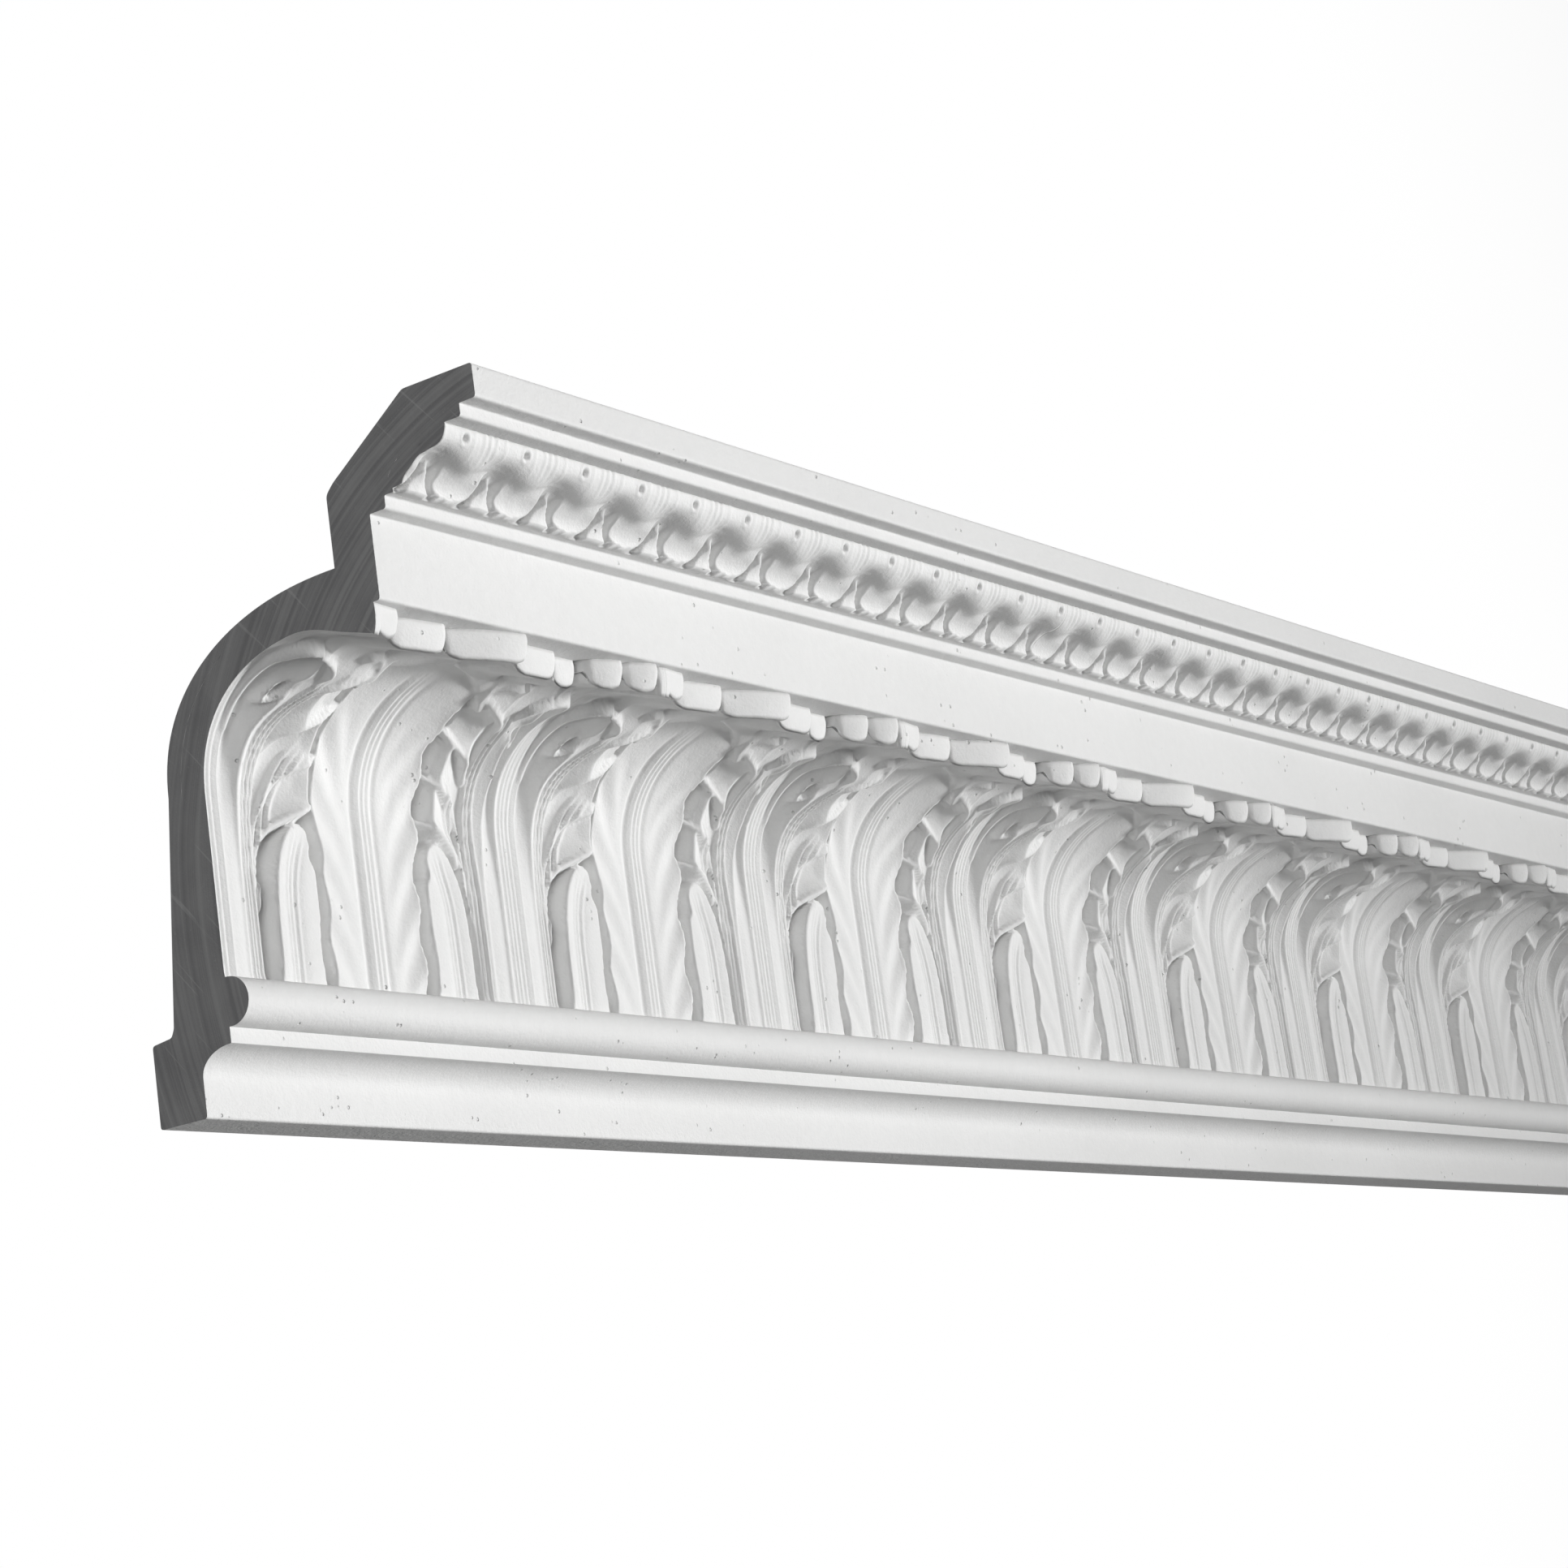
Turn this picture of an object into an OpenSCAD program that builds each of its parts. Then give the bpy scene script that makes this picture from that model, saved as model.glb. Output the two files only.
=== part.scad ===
// Cornice moulding length: a hollow-backed cast shell with a run of acanthus leaves in its
// cove and a leaf-and-tongue band above. It is cut square at both ends.
// X runs along the wall, +Y points into the wall and +Z points up. The origin is the middle
// of the strip that lies against the wall.

/* [Length] */
// Distance from one tall leaf to the next
leaf_pitch = 146; // [120:1:180]
// Number of leaf pitches in the length; the half lets both cuts fall on a leaf's stem
repeats = 7.5; // [1.5:1:9.5]
// Tongues in the upper band for each leaf pitch
tongues_per_leaf = 5; // [3:2:7]

/* [Section] */
// Height down the wall
height = 200; // [198:0.5:206]
// Projection out from the wall
projection = 153.5; // [152:0.5:157]
// Width of the strip that lies against the ceiling
ceiling_strip = 27; // [20:1:30]
// Height of the strip that lies against the wall
wall_strip = 26; // [22:1:27]
// Height of the top fascia
top_fascia = 10.8; // [9:0.1:12]
// Height of each small square fillet
fillet = 4.1; // [3:0.1:5]
// Depth of each small square step
step = 6.3; // [5.5:0.1:7]
// Height of the leaf-and-tongue band
band_rise = 15.2; // [14:0.1:16]
// Depth of the leaf-and-tongue band, from its foot to its head
band_reach = 19.4; // [18:0.1:21]
// Height of the plain fascia above the leaves
long_fascia = 26.7; // [25:0.1:28]

/* [Leaves] */
// Height of the leaf faces above the ground behind them
relief = 6.5; // [3:0.1:7]
// Half the width of the tall front leaf
leaf_half = 19; // [15:0.5:22]
// How far each lobe of a leaf's edge stands out from its notches
lobe_depth = 2.7; // [1:0.1:4]
// Distance from one lobe to the next along a leaf's edge
lobe_pitch = 20.5; // [18:0.5:24]
// Half the width of the central stem of the rear leaf
stem_half = 5.5; // [4:0.5:8]
// Depth of the hollow flutes beside the stems
flute = 1.6; // [0.5:0.1:2.5]
// Height of the blunt ends of the leaf tips
tip_drop = 8; // [6:0.5:9]
// Depth of the grooves between the tongues
tongue_groove = 2.6; // [1:0.1:3]

/* [Hidden] */

length = leaf_pitch * repeats;
half_pitch = leaf_pitch / 2;
tongue_pitch = leaf_pitch / tongues_per_leaf;
origin_up = wall_strip / 2;

// Levels up from the foot of the section, and distances out from the wall
fascia_foot = height - top_fascia;
band_head = fascia_foot - fillet;
band_foot = band_head - band_rise;
long_head = band_foot - fillet;
soffit = long_head - long_fascia;
fillet_out = projection - step;
band_out = fillet_out - step;
band_back = band_out - band_reach;
lower_out = band_back - step;
fascia_out = lower_out - step;
arris = 1.3;

// Foot, cavetto, small fillet and torus below the leaves
foot_out = 19.3;
foot_chamfer = 1.5;
cavetto_foot = 12.4;
cavetto_run = 12.5;
small_fillet_out = 32;
small_fillet_foot = 20.4;
torus_r = 7.6;
torus_out = 33.2;
torus_up = 33.2;
torus_top = torus_up + torus_r;
torus_foot = torus_up - torus_r;
arc_steps = 8;

// Leaf faces: upright from the torus, then a squarish quarter ellipse that turns level
cove_power = 2.25;
cove_out = 78.5;
cove_up = 97;
cove_run = 46;
cove_rise = 40;
upright = cove_up - torus_top;
curve_length = 0.8 * (cove_run + cove_rise);
soffit_gap = 0.4;

// Hollow back of the shell
back_step = 9.4;
back_foot = wall_strip + 3.5;
back_run = 76;
back_out = 93;
back_up = 100;
back_rise = 53.3;
shelf_up = 176.3;

// A quarter of a squarish ellipse. At t = 0 it stands upright, level with its centre and
// towards the wall, and at t = 90 it lies level, straight above its centre.
function squircle(t, out, up, run, rise) = [
    out - run * pow(cos(t), 2 / cove_power),
    up + rise * pow(sin(t), 2 / cove_power)
];

// An arc of an ellipse, as points
function arc(out, up, run, rise, from, to) = [
    for (i = [0:arc_steps]) let (a = from + (to - from) * i / arc_steps)
        [out + run * cos(a), up + rise * sin(a)]
];

// Place on the leaf faces at a distance s up the leaf, as [out, up], and its slope there
function face_angle(s) = max(0, 90 * (s - upright) / curve_length);
function face_point(s) = s <= upright
    ? [cove_out - cove_run, torus_top + s]
    : squircle(face_angle(s), cove_out, cove_up, cove_run, cove_rise);

// Half width of the tall front leaf at a distance s up the leaf
function front_half(s) = leaf_half - lobe_depth * cos(360 * (s - 22) / lobe_pitch);
// Distance from the rear leaf's stem to the ends of its lobes
function rear_half(s) =
    half_pitch - leaf_half - 7.5 + 0.7 * lobe_depth * cos(360 * (s - 50) / lobe_pitch);

// Stations across half a pitch, from the rear leaf's stem towards the front leaf's stem:
// [distance from the rear stem, depth below the leaf faces]
function half_stations(s) = let (r = rear_half(s), f = half_pitch - front_half(s)) [
    [0, 0],
    [stem_half, 0.3],
    [stem_half + 4, flute],
    [0.42 * r, 0.2],
    [0.68 * r, flute],
    [r - 1.2, 0.2],
    [r, relief],
    [f, relief],
    [f + 1.2, 0.5],
    [f + 0.45 * (half_pitch - f), flute],
    [half_pitch - 4, 0.1]
];
// Stations across a whole pitch: a half, the front stem, and the half's mirror image
function pitch_stations(s) = let (h = half_stations(s), n = len(h)) concat(
    h,
    [[half_pitch, 0]],
    [for (i = [n - 1:-1:1]) [leaf_pitch - h[i][0], h[i][1]]]
);

// Blunt leaf tips under the soffit: [where each ends, as a fraction of the pitch, how far its
// left end stands back from the fascia, how far its right end does, number of stations]
tips = [
    [0.095, 2, 3.3, 4],
    [0.275, 10, 6.5, 3],
    [0.5, 10, 0.5, 4],
    [0.665, 8, 8.5, 3],
    [0.765, 12, 12, 2],
    [0.87, 9, 4, 2],
    [0.97, 5.5, 0.5, 2],
    [1, 3, 3, 2]
];
tip_gap = 0.004;
// Stations across a pitch at the tips, as [distance along, distance back from the fascia].
// There are as many of them as in pitch_stations, so the rows join.
tip_stations = [
    for (i = [0:len(tips) - 1])
        let (from = i == 0 ? 0 : tips[i - 1][0], to = tips[i][0] - tip_gap)
            for (k = [0:tips[i][3] - 1])
                let (t = k / (tips[i][3] - 1))
                    [leaf_pitch * (from + (to - from) * t),
                     tips[i][1] + (tips[i][2] - tips[i][1]) * sin(90 * t)]
];

// One straight edge along the length
function edge(p) = [
    [-length / 2, -p[0], p[1] - origin_up],
    [length / 2, -p[0], p[1] - origin_up]
];
// One line of points along the length, repeating a list of [along, out, up]. It ends on the
// last whole or half repeat.
function row(points, pitch) = let (n = len(points)) [
    for (c = [0:round(n * length / pitch)])
        let (k = floor(c / n), p = points[c - k * n])
            [k * pitch + p[0] - length / 2, -p[1], p[2] - origin_up]
];

function face_row(s) = let (q = face_point(s), a = face_angle(s)) row([
    for (p = pitch_stations(s))
        [p[0], q[0] - p[1] * cos(a), min(q[1] + p[1] * sin(a), soffit - soffit_gap)]
], leaf_pitch);
function tip_row(back, up) = row([
    for (p = tip_stations) [p[0], fascia_out - p[1] - back, up]
], leaf_pitch);

// Rows of the leaf carving, from the torus up to the soffit
underside = soffit - 2.5;
tip_foot = soffit - tip_drop;
function leaf_rows() = concat(
    [for (i = [0:10]) face_row(i == 0 ? 0 : 12 + (i - 1) * lobe_pitch / 2)],
    [tip_row(19, underside)],
    [tip_row(1.5, tip_foot)],
    [tip_row(0, tip_foot + 1.5)],
    [tip_row(0, soffit)]
);

// Section of the tongues: a hollow foot that turns level, then a rounded head
band_mid = band_foot + 6.9;
half_reach = band_reach / 2;
function band_point(t) = t < 0.5
    ? [band_back + half_reach * (1 - cos(180 * t)), band_foot + (band_mid - band_foot) * sin(180 * t)]
    : [band_out - half_reach * (1 + cos(180 * t)), band_mid + (band_head - band_mid) * (1 - sin(180 * t))];
function band_slope(t) = t < 0.5 ? 180 * t : 180 * (1 - t);
// Stations across one tongue, as [share of its pitch, share of the groove's depth]
tongue_stations = [[0, 0.5], [0.12, 0.75], [0.26, 1], [0.42, 0.15], [0.63, 0], [0.86, 0.2]];
function band_row(t) = let (q = band_point(t), a = band_slope(t)) row([
    for (p = tongue_stations) let (d = p[1] * tongue_groove)
        [p[0] * tongue_pitch, q[0] - d * cos(a), min(q[1] + d * sin(a), band_head)]
], tongue_pitch);
function tongue_rows() = [for (t = [0, 0.17, 0.36, 0.6, 0.8, 1]) band_row(t)];

function edges(points) = [for (p = points) edge(p)];

// The whole section as lines along the length: up the front, back along the ceiling and down
// the hollow back
function section_rows() = concat(
    edges([[0, foot_chamfer], [foot_chamfer, 0], [foot_out - 0.8, 0], [foot_out, foot_chamfer]]),
    edges(arc(foot_out + cavetto_run, cavetto_foot, cavetto_run, small_fillet_foot - cavetto_foot, 180, 90)),
    edges([[small_fillet_out, small_fillet_foot + 0.3], [small_fillet_out, torus_foot]]),
    edges(arc(torus_out, torus_up, torus_r, torus_r, -90, 90)),
    leaf_rows(),
    edges([[fascia_out, soffit], [fascia_out, long_head]]),
    edges([[lower_out, long_head], [lower_out, band_foot]]),
    tongue_rows(),
    edges([[fillet_out, band_head], [fillet_out, fascia_foot], [projection, fascia_foot]]),
    edges([[projection, height - arris], [projection - arris, height]]),
    edges([[projection - ceiling_strip, height], [back_out + 3, shelf_up + 3], [back_out, shelf_up]]),
    edges([for (i = [arc_steps:-1:0]) squircle(90 * i / arc_steps, back_out, back_up, back_run, back_rise)]),
    edges([[back_step, back_foot], [back_step - arris, wall_strip + 1], [0, wall_strip]])
);

// Closed solid between the rows of a section. Neighbouring rows with as many points as each
// other are joined by triangles, and any others by one flat face.
module carved_length(rows) {
    m = len(rows);
    start = [for (i = 0, s = 0; i < m; s = s + len(rows[i]), i = i + 1) s];
    function up(j) = [for (i = [0:len(rows[j]) - 1]) start[j] + i];
    function down(j) = [for (i = [len(rows[j]) - 1:-1:0]) start[j] + i];
    sides = [
        for (j = [0:m - 1]) let (next = (j + 1) % m, n = len(rows[j]))
            each n > 2 && n == len(rows[next])
                ? [for (i = [0:n - 2]) let (a = start[j] + i, b = start[next] + i)
                    each [[a, b, b + 1], [a, b + 1, a + 1]]]
                : [concat(up(next), down(j))]
    ];
    near = [for (j = [m - 1:-1:0]) start[j]];
    far = [for (j = [0:m - 1]) start[j] + len(rows[j]) - 1];
    polyhedron([for (r = rows) each r], concat(sides, [near, far]), convexity = 12);
}

module cornice_moulding() {
    color("gainsboro")
        resize([length, projection, height])
            carved_length(section_rows());
}

cornice_moulding();
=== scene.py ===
"""Cornice moulding length: acanthus leaves in the cove, leaf-and-tongue band above, sawn ends."""

import math

import bpy
import numpy as np
from mathutils import Matrix, Vector


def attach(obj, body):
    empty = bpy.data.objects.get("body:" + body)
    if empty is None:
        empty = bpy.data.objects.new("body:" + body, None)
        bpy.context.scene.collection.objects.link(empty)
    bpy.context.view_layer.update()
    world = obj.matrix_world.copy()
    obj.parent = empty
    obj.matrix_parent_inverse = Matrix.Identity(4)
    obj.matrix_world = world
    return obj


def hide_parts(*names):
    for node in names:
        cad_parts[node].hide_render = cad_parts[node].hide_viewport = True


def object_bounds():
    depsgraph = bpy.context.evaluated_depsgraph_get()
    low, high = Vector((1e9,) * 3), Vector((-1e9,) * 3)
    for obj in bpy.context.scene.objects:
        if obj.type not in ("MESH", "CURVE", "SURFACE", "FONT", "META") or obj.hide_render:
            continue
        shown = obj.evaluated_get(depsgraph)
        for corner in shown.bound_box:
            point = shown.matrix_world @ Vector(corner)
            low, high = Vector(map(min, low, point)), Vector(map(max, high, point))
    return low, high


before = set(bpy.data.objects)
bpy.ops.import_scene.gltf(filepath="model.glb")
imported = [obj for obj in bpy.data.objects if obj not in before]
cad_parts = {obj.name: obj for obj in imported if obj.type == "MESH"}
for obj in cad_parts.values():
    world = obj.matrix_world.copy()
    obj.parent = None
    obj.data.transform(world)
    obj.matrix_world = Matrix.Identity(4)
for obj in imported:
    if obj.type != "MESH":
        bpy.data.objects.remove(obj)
CAD_BOX = [list(corner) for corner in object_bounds()]

bl_info = {
    "name": "Cornice moulding length",
    "version": (1, 0, 0),
    "blender": (4, 5, 0),
    "location": "View3D > Sidebar > Moulding",
    "description": "Builds a carved cornice moulding length round its packed frame",
    "category": "Object",
}

NODE = "cornice_moulding"
BODY = "root"
MM = 0.001
LOW, HIGH = (np.array(corner) / MM for corner in CAD_BOX)
LENGTH = HIGH[0] - LOW[0]


# ---------------------------------------------------------------- sizes and colours


class MouldingSizes(bpy.types.PropertyGroup):
    """Sizes that the pieces are built from"""

    leaf_pitch: bpy.props.FloatProperty(
        name="Leaf pitch", description="Length of one repeat of the leaves",
        default=0.146, min=0.05, unit="LENGTH")
    tongues_per_leaf: bpy.props.IntProperty(
        name="Tongues per leaf", description="Tongues of the band in one repeat", default=5, min=1)
    relief: bpy.props.FloatProperty(
        name="Relief", description="Share of the full depth of the leaf carving",
        default=1.0, min=0.2, max=1.2)
    tongue_relief: bpy.props.FloatProperty(
        name="Tongue relief", description="Share of the full depth of the tongue carving",
        default=1.0, min=0.2, max=1.2)
    arris: bpy.props.FloatProperty(
        name="Arris", description="Radius of the worn edges of the plain members",
        default=0.0011, min=0.0002, unit="LENGTH")


class MouldingColours(bpy.types.PropertyGroup):
    """Colours of the finishes and the floor"""

    casting: bpy.props.FloatVectorProperty(
        name="Casting", description="Colour of the primed casting", subtype="COLOR",
        size=4, default=(0.78, 0.78, 0.775, 1.0), min=0, max=1)
    casting_dust: bpy.props.FloatVectorProperty(
        name="Casting dust", description="Colour of the dusty patches", subtype="COLOR",
        size=4, default=(0.7, 0.7, 0.695, 1.0), min=0, max=1)
    sawn: bpy.props.FloatVectorProperty(
        name="Sawn end", description="Colour of the sawn foam", subtype="COLOR",
        size=4, default=(0.34, 0.34, 0.342, 1.0), min=0, max=1)
    sawn_dark: bpy.props.FloatVectorProperty(
        name="Sawn end, dark", description="Colour of the deeper saw marks", subtype="COLOR",
        size=4, default=(0.23, 0.23, 0.234, 1.0), min=0, max=1)
    floor: bpy.props.FloatVectorProperty(
        name="Floor", description="Colour of the studio floor", subtype="COLOR",
        size=4, default=(0.48, 0.48, 0.48, 1.0), min=0, max=1)


# ---------------------------------------------------------------- node materials


class Wire:
    """A socket, or a number, that adds Math nodes when it is used in an expression."""

    def __init__(self, kit, socket):
        self.kit, self.socket = kit, socket

    def _maths(self, operation, *values):
        return self.kit.node("ShaderNodeMath", {"operation": operation}, dict(enumerate(values)))

    def __add__(self, other):
        return self._maths("ADD", self, other)

    def __sub__(self, other):
        return self._maths("SUBTRACT", self, other)

    def __rsub__(self, other):
        return self._maths("SUBTRACT", other, self)

    def __mul__(self, other):
        return self._maths("MULTIPLY", self, other)

    __radd__ = __add__
    __rmul__ = __mul__


class Nodes:
    """A node tree, added to by node() alone."""

    def __init__(self, tree):
        self.tree = tree

    def node(self, kind, settings, inputs, output=0):
        """Adds a node of a kind, with its settings and its input sockets' values or links."""
        made = self.tree.nodes.new(kind)
        for key, value in settings.items():
            setattr(made, key, value)
        for key, value in inputs.items():
            self.give(made.inputs[key], value)
        return Wire(self, made.outputs[output])

    def give(self, socket, value):
        """Links a value to a socket, or sets it there."""
        if isinstance(value, Wire):
            self.tree.links.new(value.socket, socket)
        else:
            socket.default_value = value

    def band(self, value, low, high, first=0.0, last=1.0):
        """first below low, last above high, smooth between."""
        return self.node("ShaderNodeMapRange", {"interpolation_type": "SMOOTHSTEP"},
                         {"Value": value, "From Min": low, "From Max": high,
                          "To Min": first, "To Max": last})


class Finish(Nodes):
    """A node material on a Principled shader, with the few patterns that every finish needs."""

    def __init__(self, name):
        self.material = bpy.data.materials.new(name)
        self.material.use_nodes = True
        super().__init__(self.material.node_tree)
        self.shader = self.tree.nodes["Principled BSDF"]
        self.place = self.node("ShaderNodeTexCoord", {}, {}, "Object")

    def noise(self, scale, detail=4.0, stretch=(1, 1, 1), rough=0.55, turn=0.0):
        """Noise on the object's own coordinates, turned about X and then stretched along its
        axes. Scale is per metre."""
        place = self.node("ShaderNodeMapping", {}, {"Vector": self.place, "Rotation": (turn, 0, 0)})
        place = self.node("ShaderNodeMapping", {}, {"Vector": place, "Scale": stretch})
        return self.node("ShaderNodeTexNoise", {},
                         {"Vector": place, "Scale": scale, "Detail": detail,
                          "Roughness": rough}, "Fac")

    def mix_colour(self, share, first, second):
        """A colour between two, by a share from 0 to 1."""
        return self.node("ShaderNodeMix", {"data_type": "RGBA"}, {0: share, 6: first, 7: second}, 2)

    def feed(self, socket, value):
        """Links a value to one of the shader's sockets, or sets it there."""
        self.give(self.shader.inputs[socket], value)

    def bump(self, height, distance):
        """Roughens the surface by a height map, in metres of depth."""
        normal = self.node("ShaderNodeBump", {},
                           {"Height": height, "Distance": distance, "Strength": 1.0}, "Normal")
        self.feed("Normal", normal)


# How fine the patterns of the finishes are, per metre
PATCHES, STIPPLE, GRAIN, PINHOLES, CLUSTERS = 9, 260, 900, 210.0, 60
SAW_MARKS, SAW_WANDER, BLOTCHES, SCRATCHES, CELLS = (170, 640), 9, 60, 40, 1500
CLOUDS = 1.4
# Colours of the small marks, the pinholes' grey being painted shade, and the depths of the bumps,
# in metres
PINHOLE_SHADE_GREY, SCRATCH_GREY, CELL_GREY = ((grey, grey, grey, 1.0) for grey in (0.42, 0.55, 0.5))
GRAIN_DEPTH, CELL_DEPTH, WANDER_DEPTH = 0.0004, 0.0003, 0.004
# The saw blade's centre, in metres, and the lean of the scratches, in radians
SAW_CENTRE, SCRATCH_LEAN = (0, -0.185, 0.047), 0.7
CLOUD_SHADE = 0.92


def casting_finish(colours):
    """Primed casting: matt white, faintly patchy, with a fine grain and sparse pinholes, dented by
    the bump and darkened by painted shade.
    """
    kit = Finish("primed_casting")
    patches = kit.band(kit.noise(PATCHES, 3), 0.35, 0.75)
    grain, stipple = kit.noise(GRAIN, 3), kit.noise(STIPPLE, 4)
    holes = kit.node("ShaderNodeTexVoronoi", {"feature": "F1"},
                     {"Vector": kit.place, "Scale": PINHOLES}, "Distance")
    sparse = kit.band(kit.noise(CLUSTERS, 2), 0.56, 0.62)
    pinhole_dent_and_shade = (1 - kit.band(holes, 0.07, 0.16)) * sparse
    shade = patches * 0.3 + stipple * 0.5
    colour = kit.mix_colour(shade, tuple(colours.casting), tuple(colours.casting_dust))
    # Painted shade: the pinholes are mixed toward a darker grey
    kit.feed("Base Color", kit.mix_colour(pinhole_dent_and_shade * 0.3, colour, PINHOLE_SHADE_GREY))
    kit.feed("Roughness", 0.62 + patches * 0.12 + grain * 0.06)
    kit.feed("Specular IOR Level", 0.32)
    kit.bump(grain * 0.4 + stipple * 0.6 - pinhole_dent_and_shade * 1.2, GRAIN_DEPTH)
    return kit.material


def sawn_finish(colours):
    """Sawn foam: grey, with the arcs of a round blade, a few pale scratches and open cells. The
    arcs are noise in the distance from the blade's centre, which wanders a little."""
    kit = Finish("sawn_foam")
    flat = kit.node("ShaderNodeVectorMath", {"operation": "MULTIPLY"},
                    {0: kit.place, 1: (0, 1, 1)}, "Vector")
    swing = kit.node("ShaderNodeVectorMath", {"operation": "DISTANCE"},
                     {0: flat, 1: SAW_CENTRE}, "Value")
    swing = swing + kit.noise(SAW_WANDER, 2) * WANDER_DEPTH
    broad, fine = (kit.node("ShaderNodeTexNoise", {"noise_dimensions": "1D"},
                            {"W": swing, "Scale": scale, "Detail": 3.0}, "Fac")
                   for scale in SAW_MARKS)
    marks = broad * 0.6 + kit.noise(BLOTCHES, 3) * 0.4
    cells = kit.noise(CELLS, 2)
    scratches = kit.band(kit.noise(SCRATCHES, 2, (1, 16, 0.5), 0.5, SCRATCH_LEAN), 0.64, 0.7)
    colour = kit.mix_colour(kit.band(marks * 0.6 + fine * 0.4, 0.36, 0.66),
                            tuple(colours.sawn_dark), tuple(colours.sawn))
    colour = kit.mix_colour(scratches * 0.3, colour, SCRATCH_GREY)
    kit.feed("Base Color", kit.mix_colour(kit.band(cells, 0.6, 0.8) * 0.25, colour, CELL_GREY))
    kit.feed("Roughness", 0.8 + fine * 0.15)
    kit.feed("Specular IOR Level", 0.25)
    kit.bump(fine * 0.6 + cells * 0.4, CELL_DEPTH)
    return kit.material


def floor_finish(colours):
    """Painted floor: grey, matt and faintly uneven."""
    kit = Finish("studio_floor")
    cloud = kit.noise(CLOUDS, 3)
    base = tuple(colours.floor)
    shaded = tuple(CLOUD_SHADE * c for c in base[:3]) + (1.0,)
    kit.feed("Base Color", kit.mix_colour(cloud * 0.2, base, shaded))
    kit.feed("Roughness", 0.75 + cloud * 0.1)
    return kit.material


# ---------------------------------------------------------------- shapes


def smooth(low, high, value):
    """0 below low, 1 above high, and 3t^2 - 2t^3 between."""
    t = np.clip((value - low) / (high - low), 0, 1)
    return t * t * (3 - 2 * t)


def mix(first, second, share):
    """first where the share is 0, second where it is 1."""
    return first + (second - first) * share


def curve(points, steps=8, closed=False):
    """A Catmull-Rom curve through points: the cubic whose slope at each point is half the
    difference of its two neighbours."""
    p = np.array(points, float)
    if closed:
        p = np.vstack([p[-1], p, p[0], p[1]])
    else:
        p = np.vstack([2 * p[0] - p[1], p, 2 * p[-1] - p[-2]])
    t = np.linspace(0, 1, steps, endpoint=False)[None, :, None]
    a, b, c, d = (p[i:len(p) - 3 + i, None] for i in range(4))
    q = 0.5 * (2 * b + (c - a) * t + (2 * a - 5 * b + 4 * c - d) * t**2
               + (3 * b - a - 3 * c + d) * t**3)
    q = q.reshape(-1, p.shape[1])
    return q if closed else np.vstack([q, p[-2]])


def along(x, s, path):
    """For each point, its distance to a path of straight pieces, signed to the path's right,
    and how far along the path its foot lies, both in mm."""
    a, b = path[:-1], path[1:]
    d = b - a
    size = np.maximum(np.hypot(d[:, 0], d[:, 1]), 1e-9)
    start = np.concatenate([[0], np.cumsum(size)[:-1]])
    px, ps = x[..., None] - a[:, 0], s[..., None] - a[:, 1]
    t = np.clip((px * d[:, 0] + ps * d[:, 1]) / size**2, 0, 1)
    qx, qs = px - t * d[:, 0], ps - t * d[:, 1]
    gap = np.hypot(qx, qs)
    near = np.argmin(gap, axis=-1)[..., None]

    def take(array):
        return np.take_along_axis(array, near, -1)[..., 0]

    side = np.where(take(qx * d[:, 1] - qs * d[:, 0]) >= 0, 1.0, -1.0)
    return take(gap) * side, take(start + t * size)


def inside(x, s, outline):
    """Distance to a closed outline, positive inside it, by the even-odd rule."""
    loop = np.vstack([outline, outline[:1]])
    gap = np.abs(along(x, s, loop)[0])
    a, b = loop[:-1], loop[1:]
    over = (a[:, 1] > s[..., None]) != (b[:, 1] > s[..., None])
    rise = np.where(b[:, 1] == a[:, 1], 1e-9, b[:, 1] - a[:, 1])
    cross = x[..., None] < a[:, 0] + (s[..., None] - a[:, 1]) / rise * (b[:, 0] - a[:, 0])
    odd = np.sum(over & cross, axis=-1) % 2 == 1
    return np.where(odd, gap, -gap)


RIB_COUNT, RIB_FADE_IN, RIB_FADE_OUT = 3, 4.0, 8.0


def ribs(x, s, path, half, height):
    """A bundle of three fine rounded ribs along a path: a cosine across it, under a smooth
    window that also closes at both ends of the path."""
    across, far = along(x, s, path)
    total = np.sum(np.hypot(*np.diff(path, axis=0).T))
    wave = 0.5 + 0.5 * np.cos(2 * np.pi * across / (2 * half / RIB_COUNT))
    ends = smooth(0, RIB_FADE_IN, far) * (1 - smooth(total - RIB_FADE_OUT, total, far))
    return height * wave * (1 - smooth(half * 0.9, half * 1.15, np.abs(across))) * ends


# Leaf face of the cove in the frame of the section: out from the wall and up from the bottom, mm
COVE_OUT, COVE_FOOT, COVE_TURN = 32.5, 40.8, 97.0
COVE_RUN, COVE_RISE, COVE_POWER = 46.0, 40.0, 2 / 2.25
SOFFIT, FASCIA = 139.1, 108.9
SECTION_FOOT = 13.0
SLOPE_REACH = 1.5


def cove_line(extra=0.0):
    """Points of the leaf face: upright, then a quarter of a superellipse whose exponent is
    2.25. extra moves the line into the wall of the casting."""
    turn = np.radians(np.linspace(0, 90, 181))
    out = COVE_OUT + COVE_RUN - (COVE_RUN + extra) * np.cos(turn) ** COVE_POWER
    up = COVE_TURN + (COVE_RISE + extra) * np.sin(turn) ** COVE_POWER
    return np.vstack([[COVE_OUT - extra, COVE_FOOT], np.column_stack([out, up])])


def lengths(line):
    """Distance along a line of points from its start."""
    return np.concatenate([[0], np.cumsum(np.hypot(*np.diff(line, axis=0).T))])


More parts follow.
